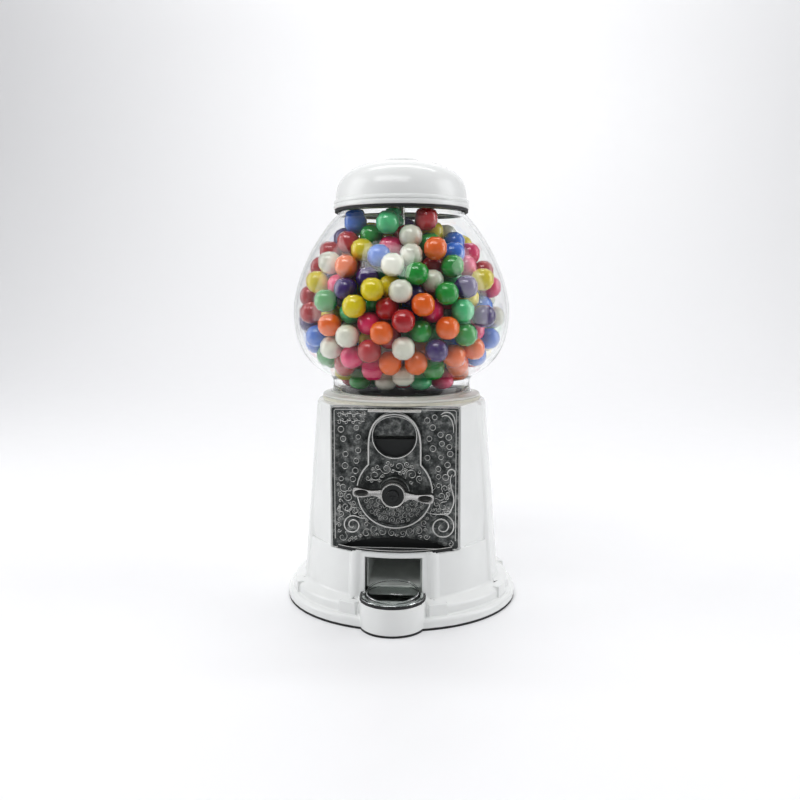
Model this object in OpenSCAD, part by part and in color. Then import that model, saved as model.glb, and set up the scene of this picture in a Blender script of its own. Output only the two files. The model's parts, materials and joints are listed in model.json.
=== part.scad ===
// Gumball machine with a glass globe, a cast housing and a coin mechanism.
// Origin: centre of the resting face. +Z up, the handle and the cup at -Y. Millimetres.

/* [Housing] */
// Radius of the foot of the housing
foot_r = 81.2; // [80:0.2:83]
// Radius of the tapered wall where it leaves the foot
wall_bottom_r = 69; // [68:0.5:70]
// Radius of the tapered wall at the top
wall_top_r = 59; // [58.5:0.5:60]
// Thickness of the casting
wall = 3; // [2.6:0.1:3.2]
// Width of each upright rib
rib_w = 12; // [9:0.5:13]

/* [Globe and lid] */
// Greatest radius of the glass globe
globe_r = 75; // [73:0.5:77]
// Thickness of the glass
glass = 2.4; // [2:0.1:2.6]
// Radius of the lid's rim
lid_r = 46.8; // [46.4:0.1:47.4]
// Radius of the button on the lid
knob_r = 12.3; // [10:0.1:14]
// Radius of one gumball
ball_r = 7.9; // [7:0.1:7.9]

/* [Coin mechanism] */
// Width of the faceplate
plate_w = 84.4; // [83:0.2:84.6]
// Span of the handle from tip to tip
handle_span = 52; // [44:1:54]
// Radius of the coin recess
recess_r = 13.9; // [13.4:0.1:14.2]
// Width of the coin slot
slot_w = 25.6; // [25:0.1:26]
// Radius of the handle shaft
shaft_r = 3; // [2.9:0.05:3]
// Teeth on the drive pinion
pinion_teeth = 8; // [8:1:8]
// Pockets in the dispensing wheel, which is also the gear ratio
pockets = 5; // [5:1:5]

/* [Cup] */
// Outer radius of the cup at the front
cup_r = 21.5; // [21:0.1:22]
// Distance from the axis to the middle of the cup
cup_reach = 71; // [70:0.5:72]

/* [Hidden] */
$fn = 96;

running = 0.05;                // radial clearance of a turning fit
pad_h = 1.2;                   // thickness of the pad under the foot
skirt_z = 17;                  // where the tapered wall leaves the foot
top_z = 141;                   // top of the housing
ledge_z = 47;                  // foot of the flat front
front_y = -51.5;               // plane of the flat front
side_y = -24;                  // where the cheeks meet the round wall
front_half = plate_w / 2 + 0.5;
rib_angles = [for (k = [0:7]) 22.5 + 45 * k];
cup_top = 18.5;

axis_z = 85.2;                 // height of the handle shaft
plate_bottom = 46;
plate_top = 140.6;
recess_z = 121.5;
boss_r = 25;                   // round boss behind the handle
arch_r = 17.4;                 // half width of the arch around the coin recess

rod_r = 2.5;
wheel_r = 43;
wheel_z = [131.6, 146];        // underside and top of the dispensing wheel
pocket_at = 33.2;              // distance of the pockets from the axis
pocket_r = 8.6;
gear_teeth = pinion_teeth * pockets;
mesh_r = 26;                   // radius at which the face gear meets the pinion
tooth_w = 1.2;
mesh_face = 3;                 // length of a tooth
gear_hub_r = 7.5;

foot_z = 142.8;                // underside of the glass foot
neck_z = 151;
mouth_r = 43.4;                // outer radius of the mouth of the globe
mouth_z = 277;
lid_z = 270.6;                 // underside of the lid's rim
lid_top = 302.8;
knob_top = 304.8;

// Radius of the tapered wall at height z
function wall_r(z) = wall_bottom_r
    + (wall_top_r - wall_bottom_r) * (z - skirt_z) / (top_z - skirt_z);

// Points along a cubic curve
function curve(a, b, c, d, steps = 14) = [for (k = [0:steps]) let (t = k / steps, s = 1 - t)
    s*s*s * a + 3 * s*s*t * b + 3 * s*t*t * c + t*t*t * d];

// A solid of revolution through [radius, height] points
module turned(points) {
    rotate_extrude($fn = 128) polygon(points);
}

// A ring about the vertical axis
module ring(outer, inner, z0, z1) {
    turned([[inner, z0], [outer, z0], [outer, z1], [inner, z1]]);
}

// A rod along Y, from y0 to y1, at place [x, z]
module rod_y(r, y0, y1, at = [0, axis_z], fn = 64) {
    translate([at[0], y1, at[1]]) rotate([90, 0, 0]) cylinder(r = r, h = y1 - y0, $fn = fn);
}

// A shape drawn in X and Z, made thick along Y
module slab_y(y0, y1) {
    translate([0, y1, 0]) rotate([90, 0, 0]) linear_extrude(y1 - y0) children();
}

// A box between two corners
module block(low, high) {
    translate(low) cube(high - low);
}

// ---- housing ----

// Plan of the cup, with straight sides running back to the wall
module cup_plan(r) {
    translate([0, -cup_reach]) circle(r = r);
    translate([-r, -cup_reach]) square([2 * r, 16]);
}

// The flat front with its two cheeks, made smaller by gap
module nose(gap, z0, z1) {
    hull() {
        for (z = [z0, z1 - 0.01]) {
            side_x = sqrt(pow(wall_r(z), 2) - side_y * side_y) - gap;
            translate([0, 0, z]) linear_extrude(0.01) polygon([
                [-front_half + gap, front_y + gap], [front_half - gap, front_y + gap],
                [side_x, side_y], [-side_x, side_y]]);
        }
    }
}

// Stepped foot and tapered wall
module outer_wall() {
    difference() {
        turned([[0, pad_h], [foot_r, pad_h], [foot_r, 6], [foot_r - 1.2, 7.4],
            [76.9, 7.6], [76.5, 8.4], [76.5, 12.8], [75.4, 14.1], [wall_r(skirt_z) + 1, 16.6],
            [wall_r(skirt_z), 17.6], [wall_r(top_z - 1.6), top_z - 1.6],
            [wall_top_r - 1.6, top_z], [0, top_z]]);
        block([-70, -90, ledge_z], [70, side_y, top_z + 1]);
    }
    nose(0, ledge_z, top_z);
}

// One upright rib with its block on the foot
module rib(angle, top) {
    lean = atan((wall_bottom_r - wall_top_r) / (top_z - skirt_z));
    rotate([0, 0, angle]) {
        intersection() {
            translate([wall_bottom_r - 4.4, 0, skirt_z - 3]) rotate([0, -lean, 0])
                cylinder(r = rib_w / 2, h = 140);
            block([0, -rib_w / 2, skirt_z - 3], [wall_bottom_r + 2.2, rib_w / 2, top]);
        }
        block([wall_bottom_r - 2, -6.4, 7], [77.9, 6.4, 15.4]);
    }
}

module ribs() {
    for (angle = rib_angles) {
        in_front = abs(angle - 270) < 40;
        rib(angle, in_front ? ledge_z - 0.5 : top_z - 2);
    }
}

// The hollow that holds the mechanism and the coins
module hollow() {
    turned([[0, 0], [72, 0], [72, 4], [67, 14], [wall_r(skirt_z) - wall, skirt_z],
        [wall_r(137) - wall, 137], [0, 137]]);
    intersection() {
        nose(wall, ledge_z + 3, 137);
        block([-70, -90, 0], [70, 0, 137]);
    }
    cylinder(r = 46.5, h = top_z + 1);
}

module housing() {
    color("white") difference() {
        union() {
            difference() {
                union() {
                    outer_wall();
                    ribs();
                    translate([0, 0, pad_h]) linear_extrude(cup_top - pad_h) cup_plan(cup_r);
                }
                difference() {
                    hollow();
                    block([-cup_r, -95, 0], [cup_r, -58, 11]);
                }
            }
            for (side = [-1, 1]) {
                translate([side * 57, 0, 77.5]) cube([10, 12, 7], center = true);
            }
            for (at = bottom_screw_places) {
                out = at / norm(at);
                translate([at[0], at[1], 2.4]) cylinder(r = 4, h = 16);
                translate([at[0] + out[0] * 6, at[1] + out[1] * 6, 9.4])
                    cube([4 + 12 * abs(out[0]), 4 + 12 * abs(out[1]), 14], center = true);
            }
            for (side = [-1, 1])
                translate([side * 14.2, 55.5, 120]) cube([6.4, 4.4, 8], center = true);
        }
        // the cup and the mouth of the chute
        translate([0, 0, 11]) linear_extrude(20) cup_plan(18.6);
        block([-18.6, -80, 13.5], [18.6, -50, 43.2]);
        // opening behind the faceplate
        block([-32, front_y - 1, 54], [32, front_y + wall + 1, 133]);
        block([-plate_w / 2 - 0.1, front_y - 10, ledge_z - 1.2],
            [plate_w / 2 + 0.1, front_y + 1.2, plate_top + 0.2]);
        intersection() {
            cylinder(r = 66.2, h = ledge_z + 1);
            block([-38.4, -80, ledge_z - 2.3], [38.4, front_y + 1.3, ledge_z + 1]);
        }
        for (x = [-36, 36], z = [60, 127]) rod_y(1.7, front_y - 2, -47, [x, z]);
        for (side = [-1, 1]) translate([side * 55, 0, 72]) cylinder(r = 1.4, h = 12);
        for (at = bottom_screw_places) translate(at) cylinder(r = 1.4, h = 12);
        for (side = [-1, 1])
            translate([side * 14.2, 57.4, 120]) rotate([90, 0, 0]) cylinder(r = 1.4, h = 8);
    }
}

// ---- underside ----

bottom_screw_places = [[-54, 0], [54, 0], [0, 56]];
plug_y = 30;
plug_r = 14;

module base_pad() {
    color("dimgray") linear_extrude(pad_h) difference() {
        union() {
            circle(r = foot_r - 0.2);
            cup_plan(cup_r - 0.2);
        }
        translate([0, plug_y]) circle(r = plug_r + 3);
        for (at = bottom_screw_places) translate(at) circle(r = 3.4);
    }
}

module bottom_plate() {
    color("silver") difference() {
        translate([0, 0, pad_h]) cylinder(r = 71.5, h = 1.2);
        block([-22, -80, 0], [22, -57.6, 5]);
        translate([0, plug_y, 0]) cylinder(r = plug_r, h = 5);
        for (at = bottom_screw_places) translate(at) cylinder(r = 1.7, h = 5);
    }
}

// A round-headed screw pointing up, its head resting at z = 0
module screw(shank_r, shank, head_r, head) {
    cylinder(r = shank_r, h = shank);
    difference() {
        translate([0, 0, -head]) cylinder(r = head_r, h = head);
        for (turn = [0, 90]) rotate([0, 0, turn])
            translate([0, 0, -head]) cube([head_r * 1.2, 0.7, 0.9], center = true);
    }
}

module bottom_screws() {
    color("silver") for (at = bottom_screw_places)
        translate([at[0], at[1], pad_h]) screw(1.4, 8, 2.8, 0.9);
}

module coin_plug() {
    neck = plug_r - running;
    color("dimgray") translate([0, plug_y, 0]) turned([[0, 0.3], [plug_r + 2, 0.3],
        [plug_r + 2.4, 0.8], [plug_r + 2.4, pad_h], [neck, pad_h], [neck, 3.4], [neck - 0.8, 5],
        [11, 5], [11, 2], [0, 2]]);
}

// ---- hopper and wheel ----

module wheel_tray() {
    color("dimgray") difference() {
        turned([[0, 128.5], [45.2, 128.5], [45.2, 141], [51, 141], [51, 142.2], [45.2, 142.2],
            [45.2, 145], [43.6, 145], [43.6, 131], [0, 131]]);
        cylinder(r = gear_hub_r + 0.4, h = 140);
        translate([0, pocket_at, 120]) cylinder(r = 9.2, h = 20);
    }
}

module dispensing_wheel() {
    color("dimgray") difference() {
        turned([[0, wheel_z[0]], [wheel_r, wheel_z[0]], [wheel_r, wheel_z[1] - 1],
            [wheel_r - 1, wheel_z[1]], [0, wheel_z[1]]]);
        cylinder(r = rod_r + running, h = 200);
        for (k = [0:pockets - 1]) rotate([0, 0, 90 + k * 360 / pockets])
            translate([pocket_at, 0, 120]) cylinder(r = pocket_r, h = 40);
    }
}

module wheel_gear() {
    tooth_tip = axis_z + 4.5;
    color("white") difference() {
        union() {
            turned([[0, 84], [gear_hub_r, 84], [gear_hub_r, 91.2], [28.6, 91.2], [28.6, 94],
                [gear_hub_r, 94], [gear_hub_r, wheel_z[0]], [0, wheel_z[0]]]);
            for (k = [0:gear_teeth - 1]) rotate([0, 0, (k + 0.5) * 360 / gear_teeth])
                translate([mesh_r - mesh_face / 2, -tooth_w / 2, tooth_tip])
                    cube([mesh_face, tooth_w, 2.4]);
        }
        cylinder(r = rod_r + running, h = 200);
    }
}

module ball_guard() {
    color("silver") intersection() {
        union() {
            ring(45.2, 18, 146.8, 147.8);
            ring(45.2, 43.8, 145, 147);
        }
        linear_extrude(200) polygon([[0, 8], [34, 70], [-34, 70]]);
    }
}

// ---- chute ----

// A straight passage between a rectangle at one end and one at the other
module passage(low_a, high_a, low_b, high_b, thick) {
    hull() {
        block(low_a - thick, high_a + thick);
        block(low_b - thick, high_b + thick);
    }
}

module chute() {
    side = [1.5, 0, 1.5];
    around = [1.5, 1.5, 0];
    color("gray") difference() {
        union() {
            passage([-17, -57, 22.5], [17, -56, 40.5], [-9.75, 51.5, 62], [9.75, 53, 81], side);
            block([-18.4, -57.5, 21.2], [18.4, -56, 43]);
            block([-18.4, -52.4, 13.7], [18.4, -50.9, 24]);
            block([-11.25, 30.5, 63], [11.25, 53, 103]);
            passage([-9.75, 32, 102], [9.75, 51.5, 103], [-9.75, 24.4, 127.5], [9.75, 43.4, 128.5],
                around);
            block([-17.4, 47, 117], [17.4, 53.3, 123]);
        }
        passage([-17, -58, 22.5], [17, -56, 40.5], [-9.75, 50, 62], [9.75, 51.5, 81], [0, 0, 0]);
        block([-9.75, 32, 70], [9.75, 51.5, 104]);
        passage([-9.75, 32, 102], [9.75, 51.5, 103], [-9.75, 24.4, 127.5], [9.75, 43.4, 130],
            [0, 0, 0]);
        for (side = [-1, 1])
            translate([side * 14.2, 60, 120]) rotate([90, 0, 0]) cylinder(r = 1.4, h = 20);
    }
}

module chute_screws() {
    color("silver") for (side = [-1, 1])
        translate([side * 14.2, 47, 120]) rotate([-90, 0, 0]) screw(1.4, 10, 2.6, 1);
}

// ---- tie rod ----

module tie_rod() {
    color("silver") translate([0, 0, 74]) cylinder(r = rod_r, h = 229.4, $fn = 48);
}

module rod_bracket() {
    color("silver") difference() {
        block([-60, -6, 81], [60, 6, 83]);
        cylinder(r = rod_r, h = 100, $fn = 48);
        for (side = [-1, 1]) translate([side * 55, 0, 70]) cylinder(r = 1.6, h = 20);
    }
}

module bracket_screws() {
    color("silver") for (side = [-1, 1])
        translate([side * 55, 0, 83]) rotate([180, 0, 0]) screw(1.4, 8, 2.8, 1.6);
}

module rod_nut() {
    color("silver") difference() {
        translate([0, 0, 76.2]) cylinder(r = 5, h = 4, $fn = 6);
        cylinder(r = rod_r, h = 100, $fn = 48);
    }
}

module rod_washers() {
    color("silver") for (z = [80.2, 83]) difference() {
        translate([0, 0, z]) cylinder(r = 6, h = 0.8);
        translate([0, 0, z - 1]) cylinder(r = rod_r, h = 3, $fn = 48);
    }
}

// ---- globe ----

module globe_gasket() {
    color("ivory") ring(55.4, 51.3, top_z, foot_z);
}

// Outline of the glass, made smaller by gap
function globe_side(gap) = concat(
    [[48 - gap, neck_z], [48.3 - gap, neck_z + 3.4]],
    curve([50.5 - gap, 157.2 + gap * 0.4], [65.5 - gap, 163.2 + gap], [globe_r - gap, 178],
        [globe_r - gap, 200]),
    curve([globe_r - gap, 201], [globe_r - gap, 222], [61 - gap, 250 - gap * 0.5],
        [44.4 - gap * 0.8, 267.4 - gap * 0.8]),
    [[mouth_r - gap, 269.2], [mouth_r - gap, mouth_z]]);

module globe() {
    inner = globe_side(glass);
    color("lightcyan", 0.4) turned(concat(
        [[45.6, foot_z], [55.2, foot_z], [55.2, 145.4], [54.2, 146.5], [49.8, 148.2]],
        globe_side(0),
        [for (k = [len(inner) - 1:-1:0]) inner[k]],
        [[45.6, 150]]));
}

// Layers of rings, each [height, radius of the outermost ring]
layers = [[156.1, 37], [172, 54], [188, 63], [204, 64], [220, 59], [236, 52], [252, 41.5]];

module gumballs() {
    step = 2 * ball_r + 0.2;
    color("orange") for (layer = layers, r = [layer[1]:-step:10.8]) {
        count = floor(180 / asin(step / 2 / r));
        for (k = [0:count - 1]) rotate([0, 0, (k + 0.5) * 360 / count])
            translate([r, 0, layer[0]]) sphere(r = ball_r, $fn = 24);
    }
}

// ---- lid ----

// Outline of the dome, made smaller by gap
function dome(gap) = curve([45.2 - gap, 277.2], [45.2 - gap, 290 - gap], [38 - gap, 301 - gap],
    [knob_r, lid_top - gap]);

module lid() {
    inner = dome(2.2);
    color("white") turned(concat(
        [[44.4, lid_z], [lid_r - 0.6, lid_z], [lid_r, lid_z + 0.8], [lid_r, 275.2],
            [lid_r - 0.8, 276.4]],
        dome(0),
        [[rod_r + 0.3, lid_top], [rod_r + 0.3, lid_top - 2.2]],
        [for (k = [len(inner) - 1:-1:1]) inner[k]],
        [[42.6, 279.4], [40, 279.2], [40, mouth_z], [44.4, mouth_z]]));
}

module lid_gasket() {
    color("black") ring(46, 44, 268.8, lid_z);
}

module lid_knob() {
    color("white") turned([[0, knob_top], [knob_r - 2.4, knob_top - 0.2], [knob_r - 0.5, knob_top - 0.9],
        [knob_r, lid_top + 0.6], [knob_r - 0.4, lid_top], [rod_r + running, lid_top],
        [rod_r + running, knob_top - 1.2], [0, knob_top - 1.2]]);
}

// ---- faceplate and handle ----

// Key-shaped boss around the coin recess and the handle
module keyhole(grow) {
    translate([0, axis_z]) circle(r = boss_r + grow);
    translate([-arch_r - grow, axis_z]) square([2 * (arch_r + grow), 34]);
    intersection() {
        translate([0, axis_z + 34 - 4]) circle(r = 24 + grow);
        translate([-arch_r - grow, axis_z + 30]) square([2 * (arch_r + grow), 30]);
    }
}

module faceplate() {
    color("dimgray") difference() {
        union() {
            block([-plate_w / 2, front_y - 1.8, plate_bottom], [plate_w / 2, front_y + 1, plate_top]);
            slab_y(front_y - 4.4, front_y) keyhole(0);
            rod_y(10, front_y - 7.5, front_y);
            rod_y(7, front_y, front_y + 4.5);
            intersection() {
                cylinder(r = 66, h = ledge_z + 1);
                block([-38, -80, ledge_z - 2.1], [38, front_y, ledge_z + 1]);
            }
            for (x = [-36, 36], z = [60, 127]) rod_y(3, front_y - 3, front_y, [x, z]);
        }
        // coin recess, slot and shaft bore
        rod_y(recess_r, front_y - 6, front_y - 1, [0, recess_z]);
        block([-slot_w / 2, front_y - 5, 119.2], [slot_w / 2, front_y + 2, 121.4]);
        rod_y(shaft_r + running, -70, -40);
        for (x = [-36, 36], z = [60, 127]) rod_y(1.5, front_y - 1, -48, [x, z]);
        // scoop of the tray under the handle
        intersection() {
            cylinder(r = 63.6, h = ledge_z + 2);
            block([-35, -80, ledge_z - 0.5], [35, front_y - 1.8, ledge_z + 2]);
        }
    }
}

module faceplate_screws() {
    color("silver") for (x = [-36, 36], z = [60, 127])
        translate([x, front_y + wall, z]) rotate([90, 0, 0]) screw(1.5, 4, 2.8, 1.6);
}

// One wing of the handle, drawn in X and Z about the shaft
module wing() {
    tip = handle_span / 2 - 3.2;
    translate([tip, -0.3]) circle(r = 3.2);
    polygon([[0, -5], [6, -4.6], [12, -1.9], [tip, -3.5], [tip, 2.9], [12, 1.9], [6, 3.6], [0, 4]]);
}

module coin_handle() {
    color("dimgray") difference() {
        union() {
            translate([0, 0, axis_z]) rotate([0, 4.5, 0]) translate([0, 0, -axis_z]) {
                translate([0, -61.2, axis_z]) rotate([90, 0, 0]) linear_extrude(6) {
                    wing();
                    mirror([1, 0]) wing();
                }
            }
            rod_y(8.2, -70, -59.4);
        }
        rod_y(shaft_r, -67, -50);
        rod_y(1.4, -72, -60);
        rod_y(4, -71, -68.6);
    }
}

module handle_screw() {
    color("silver") translate([0, -68.6, axis_z]) rotate([-90, 0, 0]) screw(1.4, 7, 3.6, 1.1);
}

module handle_shaft() {
    color("silver") difference() {
        rod_y(shaft_r, -67, -21);
        rod_y(1.4, -70, -61.6);
        difference() {
            rod_y(shaft_r + 1, -23, -22.2);
            rod_y(2.4, -24, -21);
        }
    }
}

module coin_carrier() {
    color("ivory") difference() {
        union() {
            rod_y(26.4, -46, -42);
            rod_y(7, -42, -41.2);
        }
        rod_y(shaft_r, -50, -40);
        rod_y(12.6, -47, -41, [0, axis_z + 20]);
        block([-12.6, -47, axis_z + 20], [12.6, -41, axis_z + 40]);
    }
}

// A saw-toothed wheel
module ratchet_outline(teeth, outer, inner) {
    polygon([for (k = [0:teeth - 1], end = [0, 1])
        let (r = end == 0 ? outer : inner, angle = (k + (end == 0 ? 0 : 0.12)) * 360 / teeth)
        [r * sin(angle), r * cos(angle)]]);
}

module ratchet_wheel() {
    color("silver") difference() {
        translate([0, 0, axis_z]) slab_y(-41.2, -38.4) ratchet_outline(12, 13, 10.4);
        rod_y(shaft_r, -50, -30);
    }
}

module drive_pinion() {
    face = mesh_face + 1;
    color("white") difference() {
        union() {
            rod_y(3.95, -mesh_r - face / 2, -mesh_r + face / 2);
            for (k = [0:pinion_teeth - 1])
                translate([0, -mesh_r, axis_z]) rotate([0, k * 360 / pinion_teeth, 0])
                    translate([-tooth_w / 2, -face / 2, 3.4]) cube([tooth_w, face, 2.2]);
            rod_y(5, -35, -mesh_r - face / 2);
        }
        rod_y(shaft_r, -40, -10);
    }
}

module shaft_clip() {
    color("silver") difference() {
        rod_y(4.6, -23, -22.2);
        rod_y(2.4, -24, -21);
        block([-1.6, -24, axis_z - 6], [1.6, -21, axis_z]);
    }
}

pawl_at = [19, 101];           // place of the pawl's pin, [x, z]

module pawl() {
    color("silver") difference() {
        slab_y(-41, -39.2) {
            translate(pawl_at) circle(r = 3.6);
            hull() {
                translate(pawl_at + [-1, -1.6]) circle(r = 1.8, $fn = 24);
                translate([9.8, 95.8]) circle(r = 1, $fn = 24);
            }
        }
        rod_y(1.5 + running, -50, -30, pawl_at);
    }
}

module pawl_pin() {
    color("silver") {
        rod_y(1.5, -41.2, -36.5, pawl_at);
        rod_y(2.4, -41.7, -41.2, pawl_at);
    }
}

module pawl_spring() {
    color("silver") {
        for (k = [0:1]) translate([pawl_at[0], -38 + 0.5 * k, pawl_at[1]]) rotate([90, 0, 0])
            rotate_extrude($fn = 64) translate([2.3, 0]) circle(r = 0.3, $fn = 24);
        translate([pawl_at[0] + 2.3, -38, pawl_at[1]]) rotate([0, 30, 0]) cylinder(r = 0.3, h = 8);
    }
}

post_places = [for (x = [-28.5, 28.5], z = [axis_z - 22, axis_z + 22]) [x, z]];

module mechanism_plate() {
    color("silver") difference() {
        slab_y(-36.5, -35) translate([-35, axis_z - 26]) square([70, 52]);
        rod_y(shaft_r + running, -40, -30);
        for (at = post_places) rod_y(1.7, -40, -30, at);
        rod_y(1.5, -40, -30, pawl_at);
    }
}

module mechanism_posts() {
    color("silver") for (at = post_places) difference() {
        rod_y(2.8, front_y + 1, -36.5, at);
        rod_y(1.4, -44, -30, at);
    }
}

module mechanism_screws() {
    color("silver") for (at = post_places)
        translate([at[0], -35, at[1]]) rotate([90, 0, 0]) screw(1.4, 7, 2.8, 1.4);
}

module coin_guide() {
    color("gray") difference() {
        block([-14.6, front_y + 1, 112.6], [14.6, -40.5, 126]);
        block([-12.9, front_y, 117.6], [12.9, -42, 124.4]);
        block([-12.9, -47, 110], [12.9, -42, 120]);
    }
}

// ---- cup ----

module dish_gasket() {
    color("dimgray") translate([0, 0, cup_top]) linear_extrude(1.4) difference() {
        cup_plan(cup_r - 0.2);
        translate([0, 0.1]) cup_plan(19.8);
        translate([-30, -cup_reach + 4]) square([60, 30]);
    }
}

module candy_dish() {
    color("lightcyan", 0.5) difference() {
        union() {
            translate([0, 0, cup_top + 1.4]) linear_extrude(1.2) difference() {
                cup_plan(cup_r - 0.4);
                translate([-30, -cup_reach + 4]) square([60, 30]);
            }
            translate([0, -cup_reach, 12]) cylinder(r = 18.2, h = cup_top + 2.3 - 12);
        }
        translate([0, -cup_reach, 0]) turned([[0, 13.2], [13, 13.2], [16.8, 16], [17, 22], [0, 22]]);
    }
}

base_pad();
housing();
bottom_plate();
bottom_screws();
coin_plug();
wheel_tray();
dispensing_wheel();
wheel_gear();
ball_guard();
chute();
chute_screws();
tie_rod();
rod_bracket();
bracket_screws();
rod_nut();
rod_washers();
globe_gasket();
globe();
gumballs();
lid();
lid_gasket();
lid_knob();
faceplate();
faceplate_screws();
coin_handle();
handle_screw();
handle_shaft();
coin_carrier();
ratchet_wheel();
drive_pinion();
shaft_clip();
pawl();
pawl_pin();
pawl_spring();
mechanism_plate();
mechanism_posts();
mechanism_screws();
coin_guide();
candy_dish();
dish_gasket();
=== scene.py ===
import json
import math
import random

import bpy
import numpy as np
from mathutils import Matrix, Vector
from mathutils.bvhtree import BVHTree

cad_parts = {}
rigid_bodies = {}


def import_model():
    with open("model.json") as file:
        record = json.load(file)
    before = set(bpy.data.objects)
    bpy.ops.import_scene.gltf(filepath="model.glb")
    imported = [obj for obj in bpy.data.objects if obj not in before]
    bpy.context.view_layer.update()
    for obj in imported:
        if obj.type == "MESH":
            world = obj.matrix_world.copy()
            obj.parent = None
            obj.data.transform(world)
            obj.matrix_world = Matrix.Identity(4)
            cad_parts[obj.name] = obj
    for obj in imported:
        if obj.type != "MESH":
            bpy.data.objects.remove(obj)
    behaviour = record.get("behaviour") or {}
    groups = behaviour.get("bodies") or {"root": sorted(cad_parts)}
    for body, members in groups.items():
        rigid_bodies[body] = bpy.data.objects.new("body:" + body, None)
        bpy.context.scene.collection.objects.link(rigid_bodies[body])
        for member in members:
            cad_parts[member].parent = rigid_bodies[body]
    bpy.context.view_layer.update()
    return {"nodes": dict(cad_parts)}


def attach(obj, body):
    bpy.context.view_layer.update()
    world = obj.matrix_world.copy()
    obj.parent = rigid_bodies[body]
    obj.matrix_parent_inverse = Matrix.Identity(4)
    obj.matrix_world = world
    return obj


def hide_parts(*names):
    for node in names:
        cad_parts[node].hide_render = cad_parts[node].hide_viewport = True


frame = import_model()

MM = 0.001
BALL = 7.9           # radius of a gumball
SHAFT = 85.2         # height of the handle shaft
PLATE = -53.3        # front face of the faceplate
BOSS = -55.9         # front face of the key-shaped boss
FIELD = -54.85       # sunk field of the boss round the handle
RECESS = 121.5       # height of the middle of the coin recess
CUP = -71            # how far in front of the axis the middle of the cup is


# ---- ways of working ----

def put_down():
    """Nothing picked, nothing open for editing."""
    if bpy.context.mode != "OBJECT":
        bpy.ops.object.mode_set(mode="OBJECT")
    bpy.ops.object.select_all(action="DESELECT")


def pick(*pieces):
    """Picks these pieces, the first of them as the one to work on."""
    put_down()
    for piece in pieces:
        piece.select_set(True)
    bpy.context.view_layer.objects.active = pieces[0]


def settle(piece, name):
    """Places a piece for good, with its place in its mesh."""
    pick(piece)
    bpy.ops.object.transform_apply(location=True, rotation=True, scale=True)
    piece.name = name
    piece.data.name = name
    return piece


def smooth(piece, angle=35):
    """Shades a piece smooth, with the edges sharper than the angle kept."""
    pick(piece)
    bpy.ops.object.shade_smooth_by_angle(angle=math.radians(angle))
    return piece


def right_way_out(piece):
    """Merges doubles and turns all faces outwards."""
    pick(piece)
    bpy.ops.object.mode_set(mode="EDIT")
    bpy.ops.mesh.select_all(action="SELECT")
    bpy.ops.mesh.remove_doubles(threshold=0.000002)
    bpy.ops.mesh.normals_make_consistent(inside=False)
    bpy.ops.object.mode_set(mode="OBJECT")
    return piece


def line_of_points(points):
    """A chain of edges through points given in millimetres."""
    put_down()
    bpy.ops.mesh.primitive_plane_add(size=0.002)
    chain = bpy.context.object
    bpy.ops.object.mode_set(mode="EDIT")
    bpy.ops.mesh.select_all(action="SELECT")
    bpy.ops.mesh.merge(type="CENTER")
    bpy.ops.transform.translate(value=Vector(points[0]) * MM)
    for here, there in zip(points, points[1:]):
        step = (Vector(there) - Vector(here)) * MM
        bpy.ops.mesh.extrude_region_move(TRANSFORM_OT_translate={"value": step})
    return chain


def turned(name, outline, steps=96, at=(0, 0), upright=True):
    """A turned piece. The outline runs round its section as radius and height."""
    if upright:
        chain = line_of_points([(at[0] + r, at[1], z) for r, z in outline])
        centre, axis = (at[0] * MM, at[1] * MM, 0), (0, 0, 1)
    else:
        chain = line_of_points([(at[0] + r, y, at[1]) for r, y in outline])
        centre, axis = (at[0] * MM, 0, at[1] * MM), (0, 1, 0)
    bpy.ops.mesh.select_all(action="SELECT")
    bpy.ops.mesh.spin(steps=steps, angle=2 * math.pi, center=centre, axis=axis)
    settle(chain, name)
    return smooth(right_way_out(chain))


def modify(piece, kind, **choices):
    """Adds a modifier and applies it."""
    pick(piece)
    change = piece.modifiers.new("change", kind)
    for key, value in choices.items():
        setattr(change, key, value)
    bpy.ops.object.modifier_apply(modifier=change.name)
    return piece


def soften(piece, width, segments=2, angle=40):
    """Rounds the edges, as filing does."""
    return modify(piece, "BEVEL", width=width * MM, segments=segments, limit_method="ANGLE",
                  angle_limit=math.radians(angle), harden_normals=False)


def pressed(name, outline, back, front, round_by=0.3, flat=False, segments=2):
    """A flat shape drawn on the front and made thick; flat=True draws it on the floor instead."""
    if flat:
        chain = line_of_points([(x, y, back) for x, y in outline])
        thick = (0, 0, (front - back) * MM)
    else:
        chain = line_of_points([(x, back, z) for x, z in outline])
        thick = (0, (front - back) * MM, 0)
    bpy.ops.mesh.select_all(action="SELECT")
    bpy.ops.mesh.edge_face_add()
    bpy.ops.mesh.extrude_region_move(TRANSFORM_OT_translate={"value": thick})
    settle(chain, name)
    right_way_out(chain)
    if round_by:
        soften(chain, round_by, segments)
    return smooth(chain)


def box(name, low, high, round_by=0.0):
    """A block between two corners."""
    put_down()
    middle = [(a + b) / 2 * MM for a, b in zip(low, high)]
    bpy.ops.mesh.primitive_cube_add(size=1, location=middle)
    piece = bpy.context.object
    bpy.ops.transform.resize(value=[(b - a) * MM for a, b in zip(low, high)])
    settle(piece, name)
    if round_by:
        soften(piece, round_by)
    return smooth(piece)


def cut(piece, tool):
    """Takes the tool out of the piece and throws the tool away."""
    modify(piece, "BOOLEAN", operation="DIFFERENCE", object=tool, solver="EXACT")
    bpy.data.objects.remove(tool)
    return piece


def joined(name, pieces):
    """Makes one piece of several."""
    pick(*pieces)
    if len(pieces) > 1:
        bpy.ops.object.join()
    piece = bpy.context.object
    piece.name = name
    piece.data.name = name
    return piece


def copied(piece, name):
    """A copy with its own mesh."""
    twin = piece.copy()
    twin.data = piece.data.copy()
    bpy.context.scene.collection.objects.link(twin)
    twin.name = name
    return twin


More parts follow.
